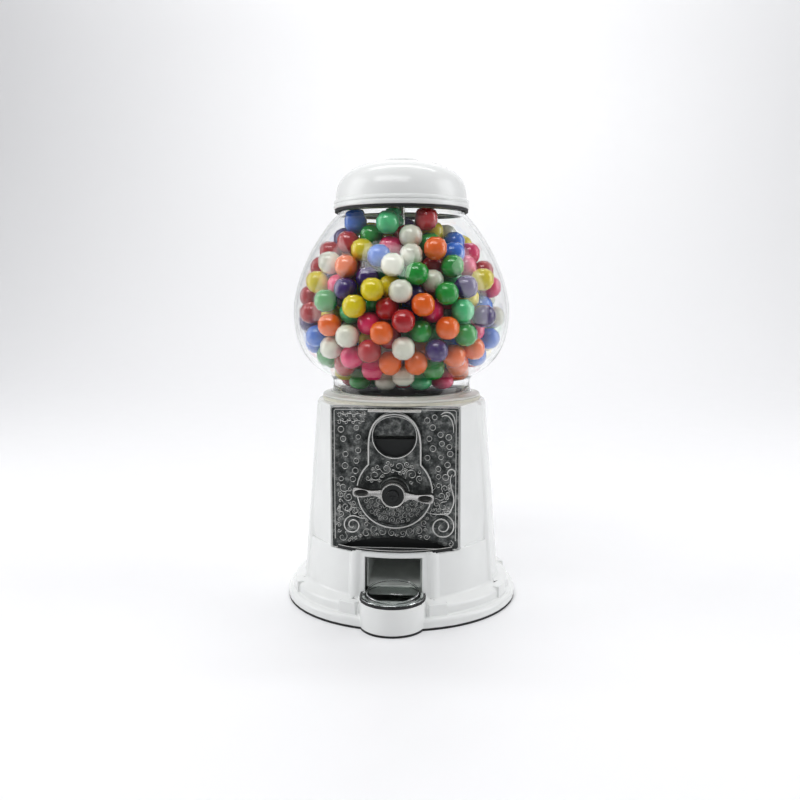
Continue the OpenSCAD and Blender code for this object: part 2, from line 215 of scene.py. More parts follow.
def wire(name, lines, radius, closed=False, swell=None, sides=2):
    """Raised lines: each runs through its points as a round bead and is made a mesh."""
    put_down()
    bpy.ops.curve.primitive_nurbs_path_add()
    curve = bpy.context.object
    curve.data.splines.clear()
    curve.data.dimensions = "3D"
    curve.data.bevel_depth = radius * MM
    curve.data.bevel_resolution = sides
    curve.data.use_fill_caps = not closed
    for points in lines:
        path = curve.data.splines.new("POLY")
        path.points.add(len(points) - 1)
        for k, place in enumerate(points):
            path.points[k].co = (place[0] * MM, place[1] * MM, place[2] * MM, 1)
            if swell:
                path.points[k].radius = swell(k / (len(points) - 1))
        path.use_cyclic_u = closed
    bpy.ops.object.convert(target="MESH")
    settle(curve, name)
    return smooth(curve, 60)


def bend(a, b, c, d, steps=14):
    """Points along a smooth bend from a to d, pulled towards b and c."""
    points = []
    for k in range(steps + 1):
        t = k / steps
        s = 1 - t
        points.append(tuple(s * s * s * p + 3 * s * s * t * q + 3 * s * t * t * u + t * t * t * v
                            for p, q, u, v in zip(a, b, c, d)))
    return points


def arc(cx, cz, r, start, end, steps=16):
    """Points on an arc, angles in degrees."""
    angles = [math.radians(start + (end - start) * k / steps) for k in range(steps + 1)]
    return [(cx + r * math.cos(a), cz + r * math.sin(a)) for a in angles]


def rounded(x0, z0, x1, z1, r, steps=5):
    """Outline of a rectangle with round corners."""
    return (arc(x1 - r, z1 - r, r, 0, 90, steps) + arc(x0 + r, z1 - r, r, 90, 180, steps)
            + arc(x0 + r, z0 + r, r, 180, 270, steps) + arc(x1 - r, z0 + r, r, 270, 360, steps))


# ---- finishes ----

def finish_called(name):
    """A new finish, with what is needed to build it up."""
    stuff = bpy.data.materials.new(name)
    stuff.use_nodes = True
    nodes = stuff.node_tree.nodes
    links = stuff.node_tree.links
    shader = nodes["Principled BSDF"]
    place = nodes.new("ShaderNodeTexCoord").outputs["Object"]
    return stuff, nodes, links, shader, place


def grain(nodes, links, place, scale, detail=3.0, rough=0.5):
    """Uneven cloudiness through the stuff."""
    noise = nodes.new("ShaderNodeTexNoise")
    noise.inputs["Scale"].default_value = scale
    noise.inputs["Detail"].default_value = detail
    noise.inputs["Roughness"].default_value = rough
    links.new(place, noise.inputs["Vector"])
    return noise.outputs["Fac"]


def tints(nodes, links, value, stops):
    """Turns a value into colours."""
    ramp = nodes.new("ShaderNodeValToRGB")
    steps = ramp.color_ramp.elements
    while len(steps) < len(stops):
        steps.new(0.5)
    for step, (at, colour) in zip(steps, stops):
        step.position = at
        step.color = (*colour, 1)
    links.new(value, ramp.inputs["Fac"])
    return ramp.outputs["Color"]


def spread(nodes, links, value, low, high, from_low=0.3, from_high=0.7):
    """Stretches a value to run from low to high."""
    scale = nodes.new("ShaderNodeMapRange")
    scale.inputs["From Min"].default_value = from_low
    scale.inputs["From Max"].default_value = from_high
    scale.inputs["To Min"].default_value = low
    scale.inputs["To Max"].default_value = high
    links.new(value, scale.inputs["Value"])
    return scale.outputs["Result"]


def dimple(nodes, links, shader, value, depth, strength):
    """Fine unevenness of the surface, depth in millimetres."""
    bump = nodes.new("ShaderNodeBump")
    bump.inputs["Strength"].default_value = strength
    bump.inputs["Distance"].default_value = depth * MM
    links.new(value, bump.inputs["Height"])
    links.new(bump.outputs["Normal"], shader.inputs["Normal"])


def coated_white():
    """Glossy white enamel over cast metal."""
    stuff, nodes, links, shader, place = finish_called("white enamel")
    cloud = grain(nodes, links, place, 34)
    links.new(tints(nodes, links, cloud, [(0.3, (0.78, 0.79, 0.783)), (0.7, (0.82, 0.83, 0.822))]),
              shader.inputs["Base Color"])
    links.new(spread(nodes, links, grain(nodes, links, place, 160), 0.18, 0.24),
              shader.inputs["Roughness"])
    dimple(nodes, links, shader, grain(nodes, links, place, 90, 1), 0.02, 0.25)
    return stuff


def clear(name, tint, roughness, density, depth):
    """Clear glass or plastic that lets the light of the lamps through."""
    stuff, nodes, links, shader, place = finish_called(name)
    shader.inputs["Transmission Weight"].default_value = 1.0
    shader.inputs["IOR"].default_value = 1.36
    links.new(tints(nodes, links, grain(nodes, links, place, density),
                    [(0.35, tint), (0.65, tuple(min(1, v * 1.012) for v in tint))]),
              shader.inputs["Base Color"])
    links.new(spread(nodes, links, grain(nodes, links, place, density * 3), *roughness),
              shader.inputs["Roughness"])
    dimple(nodes, links, shader, grain(nodes, links, place, density, 1), depth, 0.5)
    through = nodes.new("ShaderNodeBsdfTransparent")
    through.inputs["Color"].default_value = (0.93, 0.95, 0.94, 1)
    ray = nodes.new("ShaderNodeLightPath")
    mix = nodes.new("ShaderNodeMixShader")
    soft = nodes.new("ShaderNodeMath")
    soft.operation = "MAXIMUM"
    links.new(ray.outputs["Is Shadow Ray"], soft.inputs[0])
    links.new(ray.outputs["Is Diffuse Ray"], soft.inputs[1])
    links.new(soft.outputs["Value"], mix.inputs["Fac"])
    links.new(shader.outputs["BSDF"], mix.inputs[1])
    links.new(through.outputs["BSDF"], mix.inputs[2])
    links.new(mix.outputs["Shader"], nodes["Material Output"].inputs["Surface"])
    return stuff


def ground_foot(stuff):
    """Turns the foot of the glass pale, as pressed and ground glass is."""
    nodes = stuff.node_tree.nodes
    links = stuff.node_tree.links
    apart = nodes.new("ShaderNodeSeparateXYZ")
    links.new(nodes["Texture Coordinate"].outputs["Object"], apart.inputs["Vector"])
    milky = spread(nodes, links, apart.outputs["Z"], 0.62, 0.0, 145.6 * MM, 146.4 * MM)
    pale = nodes.new("ShaderNodeBsdfPrincipled")
    pale.inputs["Base Color"].default_value = (0.9, 0.9, 0.86, 1)
    pale.inputs["Roughness"].default_value = 0.3
    mix = nodes.new("ShaderNodeMixShader")
    ending = nodes["Material Output"].inputs["Surface"]
    links.new(milky, mix.inputs["Fac"])
    links.new(ending.links[0].from_socket, mix.inputs[1])
    links.new(pale.outputs["BSDF"], mix.inputs[2])
    links.new(mix.outputs["Shader"], ending)
    return stuff


def candy(name, colour):
    """Hard sugar shell with a glaze and faint paler blotches."""
    stuff, nodes, links, shader, place = finish_called(name)
    pale = tuple(v + (0.9 - v) * 0.05 for v in colour)
    deep = tuple(v * 0.86 for v in colour)
    links.new(tints(nodes, links, grain(nodes, links, place, 150, 4, 0.6),
                    [(0.3, deep), (0.55, colour), (0.75, pale)]), shader.inputs["Base Color"])
    links.new(spread(nodes, links, grain(nodes, links, place, 500), 0.14, 0.26),
              shader.inputs["Roughness"])
    shader.inputs["Coat Weight"].default_value = 0.8
    shader.inputs["Coat Roughness"].default_value = 0.03
    dimple(nodes, links, shader, grain(nodes, links, place, 380, 2), 0.03, 0.4)
    return stuff


def rubbed(name, deep_y, high_y, dark, bright):
    """Zinc with black rubbed into the low places and the high places polished."""
    stuff, nodes, links, shader, place = finish_called(name)
    apart = nodes.new("ShaderNodeSeparateXYZ")
    links.new(place, apart.inputs["Vector"])
    height = spread(nodes, links, apart.outputs["Y"], 0.0, 0.8, deep_y * MM, high_y * MM)
    patch = nodes.new("ShaderNodeMath")
    patch.operation = "MULTIPLY_ADD"
    links.new(grain(nodes, links, place, 320, 5, 0.65), patch.inputs[0])
    patch.inputs[1].default_value = 0.3
    links.new(height, patch.inputs[2])
    grey = (bright, bright * 0.99, bright * 0.965)
    links.new(tints(nodes, links, patch.outputs["Value"],
                    [(0.1, (dark, dark * 1.02, dark)), (0.55, tuple(v * 0.3 for v in grey)),
                     (0.95, grey)]),
              shader.inputs["Base Color"])
    shader.inputs["Metallic"].default_value = 0.9
    links.new(spread(nodes, links, patch.outputs["Value"], 0.5, 0.25, 0.1, 1.0),
              shader.inputs["Roughness"])
    dimple(nodes, links, shader, grain(nodes, links, place, 900, 4), 0.06, 0.5)
    return stuff


def blackened_ground():
    """Flat places of the plate: blackened and finely pitted, with grey rubbing through."""
    stuff, nodes, links, shader, place = finish_called("blackened ground")
    links.new(tints(nodes, links, grain(nodes, links, place, 210, 6, 0.7),
                    [(0.32, (0.028, 0.032, 0.031)), (0.5, (0.115, 0.122, 0.12)),
                     (0.66, (0.34, 0.35, 0.34))]),
              shader.inputs["Base Color"])
    shader.inputs["Metallic"].default_value = 0.75
    links.new(spread(nodes, links, grain(nodes, links, place, 600), 0.34, 0.56),
              shader.inputs["Roughness"])
    dimple(nodes, links, shader, grain(nodes, links, place, 1100, 4, 0.6), 0.22, 0.8)
    return stuff


def polished_relief():
    """Raised lines of the plate: bright on top, black down their flanks."""
    stuff, nodes, links, shader, place = finish_called("polished relief")
    out = nodes.new("ShaderNodeTexCoord").outputs["Normal"]
    apart = nodes.new("ShaderNodeSeparateXYZ")
    links.new(out, apart.inputs["Vector"])
    top = spread(nodes, links, apart.outputs["Y"], 0.0, 0.85, -0.35, -0.95)
    patch = nodes.new("ShaderNodeMath")
    patch.operation = "MULTIPLY_ADD"
    links.new(grain(nodes, links, place, 420, 5, 0.7), patch.inputs[0])
    patch.inputs[1].default_value = 0.35
    links.new(top, patch.inputs[2])
    links.new(tints(nodes, links, patch.outputs["Value"],
                    [(0.2, (0.03, 0.033, 0.032)), (0.6, (0.26, 0.265, 0.26)), (1.0, (0.74, 0.74, 0.72))]),
              shader.inputs["Base Color"])
    shader.inputs["Metallic"].default_value = 0.5
    links.new(spread(nodes, links, patch.outputs["Value"], 0.5, 0.26, 0.2, 1.0),
              shader.inputs["Roughness"])
    dimple(nodes, links, shader, grain(nodes, links, place, 1300, 3), 0.05, 0.5)
    return stuff


def metal(name, colour, roughness, scale=200):
    """Bare metal with a slightly uneven polish."""
    stuff, nodes, links, shader, place = finish_called(name)
    links.new(tints(nodes, links, grain(nodes, links, place, scale, 4),
                    [(0.3, tuple(v * 0.85 for v in colour)), (0.7, colour)]), shader.inputs["Base Color"])
    shader.inputs["Metallic"].default_value = 1.0
    links.new(spread(nodes, links, grain(nodes, links, place, scale * 2), roughness, roughness + 0.15),
              shader.inputs["Roughness"])
    dimple(nodes, links, shader, grain(nodes, links, place, scale * 4, 2), 0.02, 0.4)
    return stuff


def moulded(name, colour, roughness, scale=250, pit=0.03):
    """Moulded plastic or rubber."""
    stuff, nodes, links, shader, place = finish_called(name)
    links.new(tints(nodes, links, grain(nodes, links, place, scale, 3),
                    [(0.3, tuple(v * 0.88 for v in colour)), (0.7, colour)]), shader.inputs["Base Color"])
    links.new(spread(nodes, links, grain(nodes, links, place, scale * 2), roughness, roughness + 0.12),
              shader.inputs["Roughness"])
    dimple(nodes, links, shader, grain(nodes, links, place, scale * 5, 2), pit, 0.4)
    return stuff


def dress(piece, stuff):
    """Gives a piece its finish."""
    piece.data.materials.clear()
    piece.data.materials.append(stuff)
    return piece


# ---- housing ----

def draw_back(piece, sharp, limit):
    """Corners that the rounding threw out are drawn back onto the shape they came from."""
    faces = BVHTree.FromPolygons([corner.co for corner in sharp.vertices],
                                 [list(face.vertices) for face in sharp.polygons])
    for corner in piece.data.vertices:
        near, _, _, apart = faces.find_nearest(corner.co)
        if apart > limit * MM:
            corner.co = near


def cast_housing():
    """The casting with its edges rounded as sand casting and enamel leave them."""
    pick(frame["nodes"]["housing"])
    bpy.ops.object.duplicate()
    casting = bpy.context.object
    bpy.ops.object.parent_clear(type="CLEAR_KEEP_TRANSFORM")
    settle(casting, "cast_housing")
    sharp = casting.data.copy()
    for merge in (0.002, 0.3):
        bpy.ops.object.mode_set(mode="EDIT")
        bpy.ops.mesh.select_all(action="SELECT")
        bpy.ops.mesh.remove_doubles(threshold=merge * MM)
        bpy.ops.mesh.dissolve_limited(angle_limit=math.radians(3))
        bpy.ops.object.mode_set(mode="OBJECT")
    modify(casting, "BEVEL", width=0.8 * MM, segments=3, limit_method="ANGLE",
           angle_limit=math.radians(28), use_clamp_overlap=False)
    draw_back(casting, sharp, 0.6)
    smooth(casting, 40)
    modify(casting, "WEIGHTED_NORMAL", keep_sharp=True, weight=80)
    dress(casting, enamel)
    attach(casting, "housing_body")
    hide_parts("housing")


# ---- globe, lid and dish ----

def glass_side(gap):
    """Outside of the glass as radius and height, from the neck up, made smaller by gap."""
    low = bend((50.5 - gap, 157.2 + gap * 0.4), (65.5 - gap, 163.2 + gap), (75 - gap, 178),
               (75 - gap, 200), 18)
    high = bend((75 - gap, 201), (75 - gap, 222), (61 - gap, 250 - gap * 0.5),
                (44.4 - gap * 0.8, 267.4 - gap * 0.8), 22)
    return ([(48 - gap, 151), (48.3 - gap, 154.4)] + low + high
            + [(43.4 - gap, 269.2), (43.4 - gap, 277)])


def blown_globe():
    """The glass, turned from its foot up to its mouth and down inside."""
    outside = glass_side(0)
    inside = glass_side(2.4)[::-1]
    foot = [(45.6, 142.8), (54.8, 142.8), (55.2, 143.1), (55.2, 144.1), (54.8, 144.6), (53.4, 145),
            (50.6, 145.4), (49.1, 146.1), (48.3, 147.6)]
    lip = [(43.1, 277.3), (41.6, 277.3)]
    section = foot + outside[:-1] + [(43.4, 276.7)] + lip + inside + [(45.6, 148.4), (45.6, 142.8)]
    globe = turned("blown_globe", section, 128)
    dress(globe, glass)
    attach(globe, "housing_body")
    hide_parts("globe")


def domed_lid():
    """Lid with a rim band and a bead above it."""
    outside = bend((45.2, 277.6), (45.2, 290), (38, 301), (12.6, 302.6), 26)
    inside = bend((43, 279.4), (43, 288), (36, 298.6), (12.3, 300.4), 20)[::-1]
    band = [(44.6, 270.6), (46, 270.6), (46.6, 270.9), (46.8, 271.6), (46.8, 272.6), (46.5, 273.4),
            (46.1, 273.7), (46.1, 274.1), (46.5, 274.5), (46.6, 275.2), (46.4, 276), (45.8, 276.6),
            (45.3, 277)]
    section = (band + outside + [(2.9, 302.6), (2.9, 300.5)] + inside
               + [(42.6, 279.2), (40.2, 279.1), (40, 278.8), (40, 277.5), (44.4, 277.5), (44.4, 270.8),
                  (44.6, 270.6)])
    lid = turned("domed_lid", section, 128)
    dress(lid, enamel)
    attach(lid, "lid_body")
    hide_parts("lid")


def lid_button():
    """Low knob on top of the lid."""
    section = [(0, 304.8), (7, 304.75), (9.9, 304.6), (11.2, 304.25), (12, 303.8), (12.3, 303.3),
               (12.2, 302.9), (11.9, 302.8), (2.6, 302.8), (2.6, 303.6), (0, 303.6)]
    button = turned("lid_button", section, 64)
    dress(button, enamel)
    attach(button, "knob_body")
    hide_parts("lid_knob")


def cup_outline(r, back):
    """Plan of the cup: half round in front, straight sides back to the given line."""
    return arc(0, CUP, r, 180, 360, 32) + [(r, back), (-r, back)]


def clear_dish():
    """Clear dish in the cup, with a flat brim and a lip that rises towards the chute."""
    bowl = turned("bowl", [(0, 12), (10.5, 12), (13.6, 12.4), (15.8, 13.6), (17.4, 15.4), (18.1, 17.4),
                           (18.2, 20.5), (18.2, 20.8), (17.2, 20.8), (17, 18), (16.4, 16.2),
                           (14.8, 14.3), (12.8, 13.4), (10, 13.2), (0, 13.2)], 64, (0, CUP))
    brim = pressed("brim", cup_outline(21.1, -67), 19.9, 21.1, 0, flat=True)
    put_down()
    bpy.ops.mesh.primitive_cylinder_add(vertices=64, radius=17.6 * MM, depth=0.02,
                                        location=(0, CUP * MM, 20 * MM))
    cut(brim, bpy.context.object)
    soften(brim, 0.25)
    lip = turned("dish lip", [(15.9, 20.5), (16.9, 20.5), (17.1, 20.9), (16.9, 21.4), (16.1, 21.4),
                              (15.9, 21), (15.9, 20.5)], 64, (0, CUP))
    pick(lip)
    bpy.ops.transform.rotate(value=math.radians(-7), orient_axis="X", center_override=(0, -0.088, 0.0206))
    settle(lip, "dish lip")
    dish = smooth(joined("clear_dish", [brim, bowl, lip]))
    dress(dish, acrylic)
    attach(dish, "housing_body")
    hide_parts("candy_dish")


# ---- gumballs ----

def room_for_a_ball():
    """How low and how high the middle of a ball can be at each distance from the axis."""
    side = np.array(glass_side(2.4))
    fine = []
    for (r0, z0), (r1, z1) in zip(side, side[1:]):
        steps = max(1, int(math.hypot(r1 - r0, z1 - z0) / 0.4))
        fine += [(r0 + (r1 - r0) * k / steps, z0 + (z1 - z0) * k / steps) for k in range(steps)]
    fine = np.array(fine)
    heights = np.arange(155.9, 268, 0.2)
    widest = np.interp(heights, side[:, 1], side[:, 0])
    lows, highs = [], []
    for r in np.arange(0, 68, 0.5):
        apart = np.hypot(fine[None, :, 0] - r, fine[None, :, 1] - heights[:, None]).min(axis=1)
        free = heights[(apart > BALL + 0.15) & (widest > r)]
        lows.append(free.min() if len(free) else 999.0)
        highs.append(free.max() if len(free) else 0.0)
    return np.array(lows), np.array(highs)


def heap(top, seed):
    """Middles of the gumballs, each let down into the lowest place of many that were tried."""
    pick_place = np.random.default_rng(seed)
    lows, highs = room_for_a_ball()
    distances = np.arange(0, 68, 0.5)
    balls = np.zeros((0, 3))
    reach = 2 * BALL + 0.12
    while len(balls) < 480:
        best = None
        for look in range(4):
            if best is None:
                r = 67 * np.sqrt(pick_place.random(420))
                turn = 2 * math.pi * pick_place.random(420)
                x, y = r * np.cos(turn), r * np.sin(turn)
            else:
                x = best[0] + pick_place.normal(0, 2.4 / 2 ** look, 90)
                y = best[1] + pick_place.normal(0, 2.4 / 2 ** look, 90)
            r = np.hypot(x, y)
            z = np.interp(r, distances, lows)
            if len(balls):
                flat = np.hypot(x[:, None] - balls[None, :, 0], y[:, None] - balls[None, :, 1])
                rest = balls[None, :, 2] + np.sqrt(np.clip(reach ** 2 - flat ** 2, 0, None))
                z = np.maximum(z, np.where(flat < reach, rest, 0).max(axis=1))
            z = np.where((r < 10.8) | (r > 67) | (z > np.interp(r, distances, highs)), 999, z)
            low = int(np.argmin(z))
            if best is None or z[low] < best[2]:
                best = (x[low], y[low], z[low])
        if best[2] > top:
            break
        balls = np.vstack([balls, best])
    return balls


def gumball():
    """One ball, made from a cube so that it has few faces and no pole."""
    put_down()
    bpy.ops.mesh.primitive_cube_add(size=2 * BALL * MM)
    ball = bpy.context.object
    bpy.ops.object.mode_set(mode="EDIT")
    bpy.ops.mesh.select_all(action="SELECT")
    bpy.ops.mesh.subdivide(number_cuts=2)
    bpy.ops.transform.tosphere(value=1.0)
    bpy.ops.object.mode_set(mode="OBJECT")
    measure = max(corner.co.length for corner in ball.data.vertices)
    bpy.ops.transform.resize(value=[BALL * MM / measure] * 3)
    settle(ball, "gumball")
    bpy.ops.object.shade_smooth()
    return ball


SHELLS = {
    "red": (0.5, 0.004, 0.012), "orange": (0.95, 0.16, 0.004), "yellow": (0.86, 0.68, 0.004),
    "green": (0.008, 0.33, 0.04), "mint": (0.1, 0.6, 0.26), "blue": (0.004, 0.15, 0.68),
    "purple": (0.04, 0.006, 0.15), "pink": (0.84, 0.02, 0.16), "cream": (0.84, 0.81, 0.7),
}


def gumballs_in_globe():
    """All gumballs, one piece for each colour."""
    pattern = gumball()
    order = random.Random(11)
    names = list(SHELLS)
    share = [13, 15, 14, 9, 8, 11, 11, 9, 12]
    groups = {name: [] for name in names}
    for place in heap(262, 8):
        ball = copied(pattern, "ball")
        ball.data.transform(Matrix.Translation(Vector(place) * MM)
                            @ Matrix.Rotation(order.random() * 6.28, 4, "Z"))
        groups[order.choices(names, share)[0]].append(ball)
    bpy.data.objects.remove(pattern)
    for name in names:
        sort = joined("gumballs_" + name, groups[name])
        dress(sort, candy(name + " shell", SHELLS[name]))
        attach(sort, "housing_body")
        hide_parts("gumballs")


# ---- faceplate ----

def keyhole(grow):
    """Outline of the boss: an arch round the coin recess standing on a circle round the handle."""
    half = 17.5 + grow
    circle = 25 + grow
    meet = math.degrees(math.acos(half / circle))
    base = arc(0, SHAFT, circle, -180 - meet, meet, 44)
    top = bend((half, 114), (half, 126), (13.5 + grow * 0.7, 136.4 + grow), (0, 136.6 + grow), 12)
    return base + top + [(-x, z) for x, z in top[::-1][1:]]


def rod(r, back, front, x=0.0, z=SHAFT, steps=64):
    """A plain rod along the handle's axis, used to bore holes."""
    put_down()
    bpy.ops.mesh.primitive_cylinder_add(vertices=steps, radius=r * MM, depth=abs(front - back) * MM,
                                        location=(x * MM, (back + front) / 2 * MM, z * MM),
                                        rotation=(math.pi / 2, 0, 0))
    return bpy.context.object


def lens_outline():
    """Arched shadow line of the tray on the plate."""
    return [(x, z) for x, z in arc(0, -53.5, 107, 69.3, 110.7, 24)] + [(-37.8, 46.2), (37.8, 46.2)]


def plate_and_boss():
    """The flat work of the faceplate."""
    plate = pressed("plate", rounded(-42.2, 46, 42.2, 140.6, 2.2), -50.6, PLATE, 0)
    cut(plate, rod(13.9, -60, -52.5, 0, RECESS, 96))
    cut(plate, box("slot", (-12.8, -56, 119.2), (12.8, -49, 121.4)))
    cut(plate, rod(3.3, -60, -40))
    hollow = pressed("hollow", lens_outline(), -52.5, -60, 0)
    cut(plate, hollow)
    soften(plate, 0.35)
    boss = pressed("boss", keyhole(0), -53, BOSS, 0)
    cut(boss, rod(13.9, -60, -50, 0, RECESS, 96))
    cut(boss, rod(22.6, -60, -54.9))
    cut(boss, rod(3.3, -60, -40))
    soften(boss, 0.5, 3)
    collar = turned("collar", [(3.3, -53), (10, -53), (10, -58.4), (9.5, -59), (3.3, -59), (3.3, -53)],
                    64, (0, SHAFT), upright=False)
    shelf = box("shelf", (-17.2, -58.2, 137.5), (17.2, -52, 138.7), 0.3)
    lens = pressed("lens", lens_outline(), -52.3, -52.7, 0)
    # The coin recess is painted two-tone: its floor disc is black, and a half disc in the plate's ground
    # finish covers its upper half, so the lower half shows black as painted shade.
    floor = rod(13.85, -52.2, -52.7, 0, RECESS, 96)
    settle(floor, "recess floor with painted shade")
    cut(floor, box("slot", (-12.8, -56, 119.2), (12.8, -49, 121.4)))
    upper = rod(13.6, -52.3, -52.9, 0, RECESS, 96)
    settle(upper, "recess top")
    cut(upper, box("lower half", (-15, -56, 100), (15, -49, RECESS)))
    for shape in (plate, boss, collar, upper):
        dress(shape, ground_zinc)
    for shape in (lens, floor):
        dress(shape, black_zinc_and_shade)
    # The ledge over the boss is painted pale grey as painted highlight along the top of the boss.
    dress(shelf, highlight_zinc)
    return [smooth(plate), smooth(boss), collar, shelf, lens, smooth(floor), smooth(upper)]


def on_plate(points, y):
    """Lays an outline drawn on the front at a depth."""
    return [(x, y, z) for x, z in points]


def rims():
    """Raised lines round the plate, the boss, the recess and the hub."""
    frame_line = [(-39.8, 52), (-39.8, 137.6), (-39, 138.6), (39, 138.6), (39.8, 137.6), (39.8, 52)]
    shapes = [wire("border", [on_plate(frame_line, PLATE + 0.2)], 0.35),
              wire("edge", [on_plate(rounded(-41.8, 46.4, 41.8, 140.2, 1.8), PLATE + 0.15)], 0.35, True),
              wire("boss rim", [on_plate(keyhole(-0.5), BOSS + 0.05)], 0.75, True, None, 3),
              wire("boss line", [on_plate(keyhole(-2.1), BOSS + 0.5)], 0.4, True),
              wire("recess rim", [on_plate(arc(0, RECESS, 14.5, 0, 352.5, 47), BOSS + 0.05)], 0.4, True),
              wire("recess line", [on_plate(arc(0, RECESS, 15.9, 20, 160, 28), BOSS + 0.1)], 0.3)]
    return shapes


def bubbles():
    """Little rings scattered over the upper part of the plate."""
    pattern = wire("ring", [on_plate(arc(0, 0, 1.75, 0, 337.5, 15), PLATE)], 0.42, True, None, 1)
    order = random.Random(4)
    places = []
    for tries in range(900):
        x = order.uniform(-37.4, 37.4)
        z = order.uniform(91, 136)
        room = 4.6 if x > 0 else 5.6
        on_boss = abs(x) < 20.4 or math.hypot(x, z - SHAFT) < 28.6
        lettered = x < -17 and z > 128
        leafy = x > 28 and z > 123 or x > 33.5 and z < 101
        if on_boss or lettered or leafy or any(math.hypot(x - a, z - b) < room for a, b in places):
            continue
        places.append((x, z))
    rings = []
    for x, z in places:
        ring = copied(pattern, "ring")
        size = order.uniform(0.85, 1.2)
        ring.data.transform(Matrix.Translation((x * MM, PLATE * MM * (1 - size), z * MM))
                            @ Matrix.Scale(size, 4))
        rings.append(ring)
    bpy.data.objects.remove(pattern)
    return rings


def curl(cx, cz, size, start, turns=1.35, hand=1, tail=1.0):
    """A scroll: a tail that runs in and winds up round cx, cz."""
    points = []
    for k in range(int(22 * turns) + 1):
        t = k / int(22 * turns)
        angle = math.radians(start + hand * 360 * turns * t)
        r = size * (1 - t) ** 0.8 + size * 0.16
        points.append((cx + r * math.cos(angle), cz + r * math.sin(angle)))
    angle = math.radians(start)
    out = (cx + size * 1.16 * math.cos(angle), cz + size * 1.16 * math.sin(angle))
    side = (math.sin(angle) * hand, -math.cos(angle) * hand)
    lead = []
    for k in range(5):
        left = 1 - k / 5
        lead.append((out[0] + side[0] * size * tail * left + math.cos(angle) * size * 0.35 * left ** 2,
                     out[1] + side[1] * size * tail * left + math.sin(angle) * size * 0.35 * left ** 2))
    return lead + points


def thin_out(t):
    """How thick a line is along its length."""
    return 0.45 + 0.75 * math.sin(math.pi * min(1, 0.12 + t * 0.8))


def scatter_curls(seed, field, sizes, inside, y, thick):
    """Fills a part of the plate with small scrolls that don't touch, the big ones first."""
    order = random.Random(seed)
    placed, lines = [], []
    for tries in range(2600):
        size = sizes[1] + (sizes[0] - sizes[1]) * min(1, tries / 1400)
        x = order.uniform(field[0], field[1])
        z = order.uniform(field[2], field[3])
        if not inside(x, z, size * 1.05) or any(math.hypot(x - a, z - b) < (size + s) * 1.08
                                                for a, b, s in placed):
            continue
        placed.append((x, z, size))
        lines.append(on_plate(curl(x, z, size, order.uniform(0, 360), order.uniform(1.0, 1.5),
                                   order.choice((-1, 1)), 0.5), y))
    return wire("scrolls", lines, thick, False, thin_out, 1)


def from_shaft(x, z):
    """How far a place on the plate is from the shaft."""
    return math.hypot(x, z - SHAFT)


def above_tray(x, z):
    """How far a place on the plate is above the arch of the tray."""
    return z - (-53.5 + math.sqrt(max(0.0, 107 ** 2 - x * x)))


def scrollwork():
    """Scrolls in the lower half of the plate and on the boss."""
    def low_band(x, z, r):
        big = math.hypot(x - 31, z - 61.5) > 10 + r and math.hypot(x + 28, z - 61.5) > 7.6 + r
        return (above_tray(x, z) > 0.9 + r and z < 73 and abs(x) < 38.6 - r and from_shaft(x, z) > 26.4 + r
                and big)

    def sides(x, z, r):
        level = 90 if x < 0 else 86
        clear_of_stem = x < 0 or x < 36 - r
        return (72 - r < z < level - r and abs(x) < 38.6 - r and from_shaft(x, z) > 26.8 + r
                and clear_of_stem)

    def under_handle(x, z, r):
        return z < 80.5 - r and from_shaft(x, z) < 22.4 - r and from_shaft(x, z) > 10.6 + r

    def over_handle(x, z, r):
        return 90 + r < z and from_shaft(x, z) < 21.6 - r and from_shaft(x, z) > 11 + r and \
            math.hypot(x, z - RECESS) > 16.4 + r

    def top_right(x, z, r):
        return 22 < x - r and x + r < 37.4 and 85 < z - r and z + r < 91

    work = [scatter_curls(3, (-39, 39, 50, 76), (1.0, 2.9), low_band, PLATE, 0.42),
            scatter_curls(8, (-39, 39, 68, 92), (1.0, 2.8), sides, PLATE, 0.42),
            scatter_curls(5, (-24, 24, 60, 84), (0.9, 1.7), under_handle, FIELD, 0.36),
            scatter_curls(6, (-24, 24, 88, 108), (1.0, 3.2), over_handle, FIELD, 0.42),
            scatter_curls(2, (22, 38, 85, 92), (1.0, 1.9), top_right, PLATE, 0.4)]
    big = [curl(31, 61.5, 7.4, 100, 1.9, -1, 1.1), curl(-28, 61.5, 5.6, 60, 1.7, 1, 0.9)]
    stem = (bend((37.4, 96.5), (33, 90), (42, 82), (37.2, 74), 16)
            + bend((37.2, 74), (36, 69), (35, 71), (30, 70)))
    loop = arc(36.9, 97.4, 2.5, -60, 260, 20)
    leaf = bend((30.4, 134.4), (34, 136.8), (38.4, 134), (38.2, 124), 16)
    blade = bend((29.8, 135.6), (34, 139.4), (39.4, 137), (39, 129.5), 16)
    work.append(wire("great scrolls", [on_plate(line, PLATE) for line in big], 0.6, False, thin_out, 2))
    work.append(wire("stems", [on_plate(line, PLATE) for line in (stem, loop, leaf, blade)], 0.5, False,
                     thin_out, 2))
    return work


def name_band():
    """A running vine where a name could stand."""
    rows = []
    for left, right, z in ((-37.8, -18.8, 135.6), (-37.8, -19.6, 131)):
        stem = [(left + (right - left) * k / 40, z + 0.5 * math.sin(k * 0.47)) for k in range(41)]
        rows.append(on_plate(stem, PLATE))
        for leaf in range(8):
            x = left + (right - left) * (leaf + 0.5) / 8
            side = 1 if leaf % 2 else -1
            rows.append(on_plate(curl(x, z + side * 1.0, 0.95, 200 if side > 0 else 20, 0.9, side, 0.9),
                                 PLATE))
    return [wire("name band", rows, 0.34, False, None, 1)]


